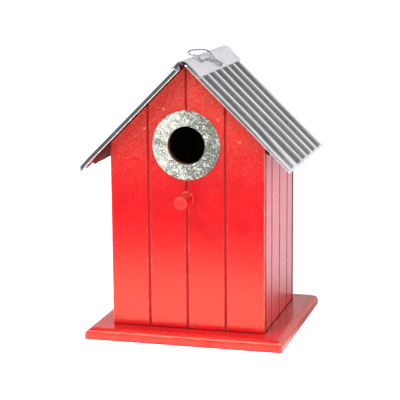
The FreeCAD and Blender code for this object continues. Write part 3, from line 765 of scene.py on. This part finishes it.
def right_bend(share, across):
    """The front two waves flatten and close up towards the eave."""
    corner = smooth(0.55, 1.0, share)
    near = 1 - smooth(-52, -36, across)
    return -3.5 * corner * bell(across, -47, 9), -0.3 * corner * near, 1 - 0.45 * corner * near


def left_bend(share, across):
    """The lower front corner droops."""
    return 0.0, -0.7 * smooth(0.9, 1.0, share) * smooth(50, 62, across), 1.0


def cap_profile():
    """Middle of the ridge cap's sheet in the right slope's frame, from its right lip to its left."""
    middle = CAP_OFFSET - SHEET_GAUGE / 2
    centre = CAP_BEND - CAP_OFFSET
    radius = CAP_BEND - SHEET_GAUGE / 2
    points = [(place, middle) for place in spread(CAP_RIGHT_FLANGE, centre, 1.2)]
    for step in range(1, 17):
        angle = math.radians(90 + 90 * step / 16)
        points.append((centre + radius * math.cos(angle), -centre + radius * math.sin(angle)))
    points += [(-middle, place) for place in spread(-centre, -CAP_LEFT_FLANGE, 1.2)[1:]]
    return points


# Dents of the cap's right flange: (along the ridge, down the slope, half width, half height,
# depth). The first four are its short creases, the last two are shallow.
CAP_DENTS = ((-52.0, 7.5, 0.9, 2.6, 0.8), (-47.0, 10.5, 0.7, 1.8, 0.6), (40.5, 8.5, 1.2, 1.6, 0.8),
             (47.0, 10.5, 1.0, 2.0, 0.6), (-12.0, 4.0, 4.0, 3.0, 0.25), (20.0, 6.0, 5.0, 3.5, 0.3))


def cap_point(along, x, z):
    """One point of the cap, with its dents, its wavy right lip and a slight ripple."""
    flange = smooth(1, 6, x)
    dent = sum(deep * bell(along, y, wide) * bell(x, place, tall)
               for y, place, wide, tall, deep in CAP_DENTS)
    lip = smooth(11, CAP_RIGHT_FLANGE, x) * 0.22 * math.cos(2 * math.pi * along / WAVE_PITCH)
    ripple = 0.06 * wobble(along / 12, x / 8, z / 8)
    drift = 0.15 * wobble(along / 7, 3.0) * flange
    return RIGHT_SLOPE @ Vector((x + drift, along, z - flange * dent + lip * 0.5 + ripple))


def make_cap():
    """The ridge cap, with the hole that the wire comes out of."""
    bm = bmesh.new()
    profile = cap_profile()
    grid(bm, [[cap_point(along, x, z) for x, z in profile]
              for along in spread(-SHEET_HALF, SHEET_HALF, 0.5)])
    cap = new_object("ridge_cap_zinc", bm, CAP_ZINC, 60)
    thicken(cap)
    bake_modifiers(cap)
    drill = bmesh.new()
    to_hole = RIGHT_SLOPE @ Matrix.Translation((*WIRE_HOLE, CAP_OFFSET))
    lathe(drill, [(WIRE_HOLE_RADIUS, -2), (WIRE_HOLE_RADIUS, 2)], to_hole, 40)
    cut(cap, drill)
    settle(cap, "zinc_cap", "ridge_cap")


def make_roof():
    """Two corrugated sheets under one cap."""
    make_sheet("right_corrugated_zinc", "right_roof_sheet", RIGHT_SLOPE @ RIGHT_SHEET_TILT,
               RIGHT_SHEET_SPAN, 0.0, right_bend)
    make_sheet("left_corrugated_zinc", "left_roof_sheet", LEFT_SLOPE,
               LEFT_SHEET_SPAN, LEFT_WAVE_SHIFT, left_bend)
    make_cap()


# ---------------------------------------------------------------- front fittings
def make_ring():
    """Thin ring with burred edges, slightly wavy."""
    bm = bmesh.new()
    inner = ENTRANCE_RADIUS
    outer = RING_RADIUS
    burr = 0.15
    profile = [(inner, 0.02), (inner, RING_GAUGE - burr), (inner + burr, RING_GAUGE)]
    profile += [(radius, RING_GAUGE) for radius in spread(inner + 0.8, outer - 0.8, 1.3)]
    profile += [(outer - burr, RING_GAUGE), (outer, RING_GAUGE - burr), (outer, 0.02)]
    profile += [(radius, 0.02) for radius in spread(outer - 1.3, inner + 1.3, 3)]
    lathe(bm, profile, facing((0, -1, 0), (0, FRONT_Y, ENTRANCE_Z)), 160, True)
    for vertex in bm.verts:
        depth = wobble(vertex.co.x / MM / 9, vertex.co.z / MM / 9, 2.0)
        vertex.co.y += 0.06 * MM * depth
    settle(new_object("entrance_ring_zinc", bm, SPANGLE), "galvanised_ring", "entrance_ring")


def dome_profile(head, dome):
    """(radius, height) of a flattened dome with a rounded rim."""
    points = [(head * 0.6, -0.05), (head * 0.96, 0.0), (head, dome * 0.18)]
    for step in range(1, 8):
        angle = math.radians(90 * step / 8)
        points.append((head * math.cos(angle) * 0.97, dome * (0.25 + 0.75 * math.sin(angle))))
    return points + [(head * 0.04, dome)]


def make_ring_nails():
    """Four domed heads on the ring's diagonals."""
    bm = bmesh.new()
    for index in range(4):
        angle = math.radians(45 + 90 * index)
        centre = (RING_NAIL_CIRCLE * math.cos(angle), FRONT_Y - RING_GAUGE,
                  ENTRANCE_Z + RING_NAIL_CIRCLE * math.sin(angle))
        lathe(bm, dome_profile(NAIL_HEAD_RADIUS, NAIL_DOME), facing((0, -1, 0), centre), 28)
    settle(new_object("entrance_ring_nail_heads", bm, NAIL), "nail_steel", "entrance_ring_nails")


def perch_profile():
    """(radius, reach from the front) of the dowel: a collar of paint at its root, a worn round
    edge and a slightly hollow end."""
    reach = FRONT_Y - PERCH_TIP_Y
    radius = PERCH_RADIUS
    worn = 0.9
    profile = [(radius, height) for height in spread(-PANEL, -0.5, 1.2)]
    profile += [(radius + 0.95 * (1 - smooth(0.4, 2.2, height)) ** 2, height)
                for height in spread(0.0, 2.4, 0.3)]
    profile += [(radius, height) for height in spread(3.4, reach - 1.0, 1.2)]
    for step in range(1, 9):
        angle = math.radians(90 * step / 8)
        profile.append((radius - worn * (1 - math.cos(angle)), reach - worn * (1 - math.sin(angle))))
    return profile + [(place, reach - 0.08 * (1 - place / radius)) for place in (3.6, 2.6, 1.6, 0.7)]


def make_perch():
    """Slightly uneven dowel, lighter at its end, partly worn paint and partly painted light, and along
    its top, painted light with painted highlight streaks.
    """
    bm = bmesh.new()
    lathe(bm, perch_profile(), facing((0, -1, 0), (0, FRONT_Y, PERCH_Z)), 64)
    faded_and_lit = bm.verts.layers.float.new("faded_and_lit")
    rub_and_highlight = bm.verts.layers.float.new("rub_and_highlight")
    for vertex in bm.verts:
        x, y, z = vertex.co / MM
        z -= PERCH_Z
        end = 1 - smooth(0.3, 1.6, y - PERCH_TIP_Y)
        top = smooth(0.3, 0.9, z / PERCH_RADIUS)
        root = smooth(-6.0, -3.0, y - FRONT_Y)
        # Painted light: the top is lighter, with painted highlight streaks stronger near the root; the
        # end is lighter, partly worn paint and partly painted light.
        vertex[faded_and_lit] = max(0.75 * end, 0.3 * top)
        vertex[rub_and_highlight] = (1.0 + 0.6 * root) * top
        swell = 1 + 0.012 * wobble(x / 4, z / 4, y / 6)
        vertex.co.x *= swell
        vertex.co.z = (PERCH_Z + z * swell) * MM
    settle(new_object("perch_dowel", bm, PAINT), "red_paint", "perch")


# ---------------------------------------------------------------- wire loop
# The loop's bends in the right slope's frame, from its shank, round the loop and back.
LOOP_ROUTE = [
    (7.2, -2.6, 6.7), (2.0, -1.2, 6.6), (-3.0, 0.4, 6.9), (-5.3, -7.0, 6.1), (-7.6, -18.0, 5.2),
    (-9.2, -28.0, 4.0), (-8.9, -33.2, 2.2), (-5.4, -33.6, 3.3), (-2.2, -33.2, 7.0),
    (0.9, -35.6, 6.5), (4.1, -32.6, 6.4), (3.1, -20.0, 6.4), (4.4, -12.0, 6.4), (7.6, -3.2, 6.7),
]


def add_wire(curve, points):
    """One smooth run of wire through the slope's frame."""
    spline = curve.splines.new("NURBS")
    spline.points.add(len(points) - 1)
    for target, point in zip(spline.points, points):
        target.co = (*(RIGHT_SLOPE @ Vector(point)), 1.0)
    spline.order_u = 3
    spline.use_endpoint_u = True


def twisted_pair(start, end, turns, radius, first_angle):
    """Two helical strands round the line from start to end."""
    axis = (end - start).normalized()
    side = axis.orthogonal().normalized()
    other = axis.cross(side)
    strands = []
    steps = int(turns * 10)
    for offset in (0, math.pi):
        strand = []
        for step in range(steps + 1):
            share = step / steps
            angle = first_angle + offset + share * turns * 2 * math.pi
            strand.append(start + (end - start) * share
                          + radius * (side * math.cos(angle) + other * math.sin(angle)))
        strands.append(strand)
    return strands


def new_wire(name, runs):
    """Round wire along each run of points, as one object."""
    curve = bpy.data.curves.new(name, "CURVE")
    curve.dimensions = "3D"
    curve.bevel_depth = WIRE_RADIUS * MM
    curve.bevel_resolution = 4
    curve.resolution_u = 8
    curve.use_fill_caps = True
    for run in runs:
        add_wire(curve, run)
    curve.materials.append(WIRE)
    made = bpy.data.objects.new(name, curve)
    bpy.context.scene.collection.objects.link(made)
    return made


def make_wire():
    """The loop with its twisted shank, and the tail that is bent apart inside the roof."""
    shank = twisted_pair(SHANK_END, WIRE_BEND, turns=2.0, radius=0.38, first_angle=0.6)
    loop = new_wire("hanging_wire_loop", [LOOP_ROUTE] + shank)
    settle(loop, "steel_wire", "hanging_loop", body="loop")
    top = WIRE_BEND - Vector((0, 0, 1.55))
    foot = Vector((WIRE_BEND.x, WIRE_BEND.y, -BOARD - 0.3))
    tail = twisted_pair(top, foot, turns=2.0, radius=0.58, first_angle=0.0)
    for side, strand in zip((1, -1), tail):
        strand += [foot + Vector((0, side * 1.5, -0.35)), foot + Vector((0, side * 7, -0.35))]
    settle(new_wire("wire_tail_strands", tail), "steel_wire", "loop_wire_tail")


# ---------------------------------------------------------------- screws
def slotted_head(matrix, name, radius):
    """Pan head with a driver slot, on a short stem."""
    height = SCREW_HEAD_HEIGHT
    bm = bmesh.new()
    profile = [(radius * 0.4, -2.0), (radius * 0.4, 0.0), (radius, 0.0), (radius, height * 0.55)]
    for step in range(1, 7):
        angle = math.radians(90 * step / 7)
        profile.append((radius * (0.55 + 0.45 * math.cos(angle)),
                        height * (0.55 + 0.45 * math.sin(angle))))
    profile.append((radius * 0.3, height))
    lathe(bm, profile, matrix, 48)
    head = new_object(name, bm, SCREW)
    slot = bmesh.new()
    bmesh.ops.create_cube(slot, size=1.0, matrix=matrix @ Matrix.Translation((0, 0, height))
                          @ Matrix.Diagonal((radius * 2.4, radius * 0.24, height * 0.9, 1)))
    cut(head, slot)
    return head


def make_screws(place_x, place_y):
    """The four base screws in their seats, and the screw that the clean-out cover turns on."""
    for index, (x, y) in enumerate([(-1, -1), (-1, 1), (1, -1), (1, 1)]):
        turn = Matrix.Rotation(0.5 + index * 1.1, 4, "Z")
        matrix = facing((0, 0, -1), (x * place_x, y * place_y, SCREW_SEAT_DEPTH)) @ turn
        head = slotted_head(matrix, f"base_screw_head_{index}", SCREW_HEAD_RADIUS)
        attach(head, "house")
    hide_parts("base_screws")
    low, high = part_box("clean_out_screw")
    seat = (0, high.y / MM - SCREW_HEAD_HEIGHT, (low.z + high.z) / 2 / MM)
    matrix = facing((0, 1, 0), seat) @ Matrix.Rotation(0.4, 4, "Z")
    pivot = slotted_head(matrix, "clean_out_screw_head", PIVOT_HEAD_RADIUS)
    settle(pivot, "screw_steel", "clean_out_screw")


# ---------------------------------------------------------------- CAD nodes that stay
def finish_node(name, material, round_mm=0.0):
    """Gives a CAD node its material and, where round_mm is given, soft edges."""
    node = NODES[name]
    node.data.materials.clear()
    node.data.materials.append(material)
    if round_mm:
        bevel = node.modifiers.new("soft_edges", "BEVEL")
        bevel.width = round_mm * MM
        bevel.segments = 3
        bevel.limit_method = "ANGLE"
        bevel.angle_limit = math.radians(40)


def finish_nodes():
    """The cover, roof boards, pins and cleats keep their CAD shape."""
    finish_node("clean_out_cover", PAINT, 0.3)
    # The roof boards take the darker red: painted shade under the eaves.
    for name in ("left_roof_board", "right_roof_board"):
        finish_node(name, SHADED_BOARD_PAINT, 0.3)
    for name in ("front_panel_pins", "back_panel_pins"):
        finish_node(name, PIN_PAINT)
    for name in ("front_left", "back_left", "front_right", "back_right"):
        finish_node(f"{name}_gable_cleat", RAW_WOOD, 0.4)


# ---------------------------------------------------------------- studio
def make_floor():
    """White sweep that ends in front of the object, just outside the camera's view."""
    bm = bmesh.new()
    front_edge = -0.335
    back_edge = 9.0
    under_object = -0.0002
    grid(bm, [[Vector((x, y, under_object)) for x in spread(-5, 5, 0.5)]
              for y in spread(front_edge, back_edge, 0.5)])
    floor = new_object("floor", bm, floor_material())


def make_world():
    """White surroundings to the camera. As light: a bright backdrop behind and to the right, a
    dark ceiling, and a low band of light in front."""
    world = bpy.data.worlds.new("studio")
    bpy.context.scene.world = world
    world.use_nodes = True
    tree = Tree(world.node_tree)
    direction = tree.node("ShaderNodeTexCoord").outputs["Generated"]
    axes = tree.axes(direction)
    bearing = tree.math("ADD", axes["Y"], tree.math("MULTIPLY", axes["X"], 0.6))
    behind = tree.step(bearing, -0.1, 0.95)
    below_ceiling = tree.step(axes["Z"], 0.48, 0.82, 1.0, 0.0)
    backdrop = tree.math("MULTIPLY", behind, below_ceiling)
    room = tree.math("MULTIPLY", tree.step(axes["Z"], -0.16, -0.11),
                     tree.step(axes["Z"], 0.2, 0.5, 1, 0))
    room = tree.math("MULTIPLY", room, tree.step(axes["Y"], -0.35, 0.25, 1, 0))
    light = tree.math("ADD", tree.math("MULTIPLY", backdrop, 0.88), tree.math("MULTIPLY", room, 0.7))
    light = tree.math("ADD", light, 0.12)
    seen = tree.node("ShaderNodeLightPath").outputs["Is Camera Ray"]
    strength = tree.math("MAXIMUM", light, seen)
    shader = tree.node("ShaderNodeBackground", {"Color": (1, 1, 1, 1), "Strength": strength})
    tree.node("ShaderNodeOutputWorld", {"Surface": shader.outputs[0]})


def add_softbox(name, place, target, width, height, watts):
    """Rectangular light at place, turned to target."""
    light = bpy.data.lights.new(name, "AREA")
    light.shape = "RECTANGLE"
    light.size = width
    light.size_y = height
    light.energy = watts
    made = bpy.data.objects.new(name, light)
    made.location = place
    made.rotation_euler = (Vector(target) - Vector(place)).to_track_quat("-Z", "Y").to_euler()
    bpy.context.scene.collection.objects.link(made)


def make_lights():
    """Two softboxes from the front sides and one from above."""
    middle = (0, 0, 0.11)
    add_softbox("softbox_left", (-1.5, -1.7, 0.75), middle, 1.0, 1.0, 18)
    add_softbox("softbox_right", (1.5, -1.5, 0.55), middle, 0.8, 0.9, 14)
    add_softbox("softbox_top", (-0.5, -0.9, 1.7), middle, 0.7, 0.7, 19)


def make_camera():
    """Long lens, 15 degrees to the right of the front and looking 11 degrees down."""
    data = bpy.data.cameras.new("camera")
    data.sensor_width = 36
    data.lens = 130.2
    data.clip_start = 0.05
    data.clip_end = 50
    camera = bpy.data.objects.new("camera", data)
    to_the_left = math.radians(15.38)
    up_from_the_floor = math.radians(78.62)
    roll = math.radians(-0.44)
    turn = (Matrix.Rotation(to_the_left, 4, "Z") @ Matrix.Rotation(up_from_the_floor, 4, "X")
            @ Matrix.Rotation(roll, 4, "Z"))
    camera.matrix_world = Matrix.Translation((0.30285, -1.11764, 0.33530)) @ turn
    bpy.context.scene.collection.objects.link(camera)
    bpy.context.scene.camera = camera


PAINT = paint_material("red_paint", (0.67, 0.005, 0.014, 1), (0.58, 0.002, 0.011, 1),
                       0.13, 0.19, 0.7)
BASE_PAINT = paint_material("base_red_paint", (0.76, 0.014, 0.018, 1), (0.67, 0.008, 0.014, 1),
                            0.18, 0.27, 0.4)
PIN_PAINT = pin_paint_material()
# A darker, less shiny copy of the red paint: painted shade on the roof boards under the eaves.
SHADED_BOARD_PAINT = paint_material("shaded_board_paint", (0.20, 0.020, 0.020, 1), (0.12, 0.012, 0.012, 1),
                            0.6, 0.75, 0.15)
RAW_WOOD = raw_wood_material()
# Nearly black wood: painted shade inside the house and down its holes.
INSIDE_SHADE = inside_shade_material()
ZINC = metal_material("corrugated_zinc", (0.70, 0.70, 0.725, 1), (0.90, 0.90, 0.92, 1),
                      5, (0.20, 0.30), (0.15, 1, 0.15), 0.012)
CUT_EDGE = metal_material("zinc_cut_edge", (0.85, 0.82, 0.82, 1), (0.98, 0.96, 0.96, 1), 3, (0.5, 0.7))
CAP_ZINC = metal_material("zinc_cap", (0.72, 0.715, 0.745, 1), (0.80, 0.795, 0.825, 1), 7, (0.34, 0.44))
SPANGLE = spangle_material()
NAIL = metal_material("nail_steel", (0.40, 0.40, 0.38, 1), (0.70, 0.70, 0.67, 1), 1.2, (0.25, 0.4))
SCREW = metal_material("screw_steel", (0.45, 0.43, 0.38, 1), (0.70, 0.68, 0.60, 1), 2, (0.25, 0.4))
WIRE = metal_material("steel_wire", (0.22, 0.22, 0.23, 1), (0.42, 0.42, 0.43, 1), 2, (0.25, 0.42))

make_camera()
make_floor()
make_world()
make_lights()
bpy.context.scene.view_settings.view_transform = "Standard"

make_walls()
make_screws(*make_base())
make_roof()
make_ring()
make_ring_nails()
make_perch()
make_wire()
finish_nodes()
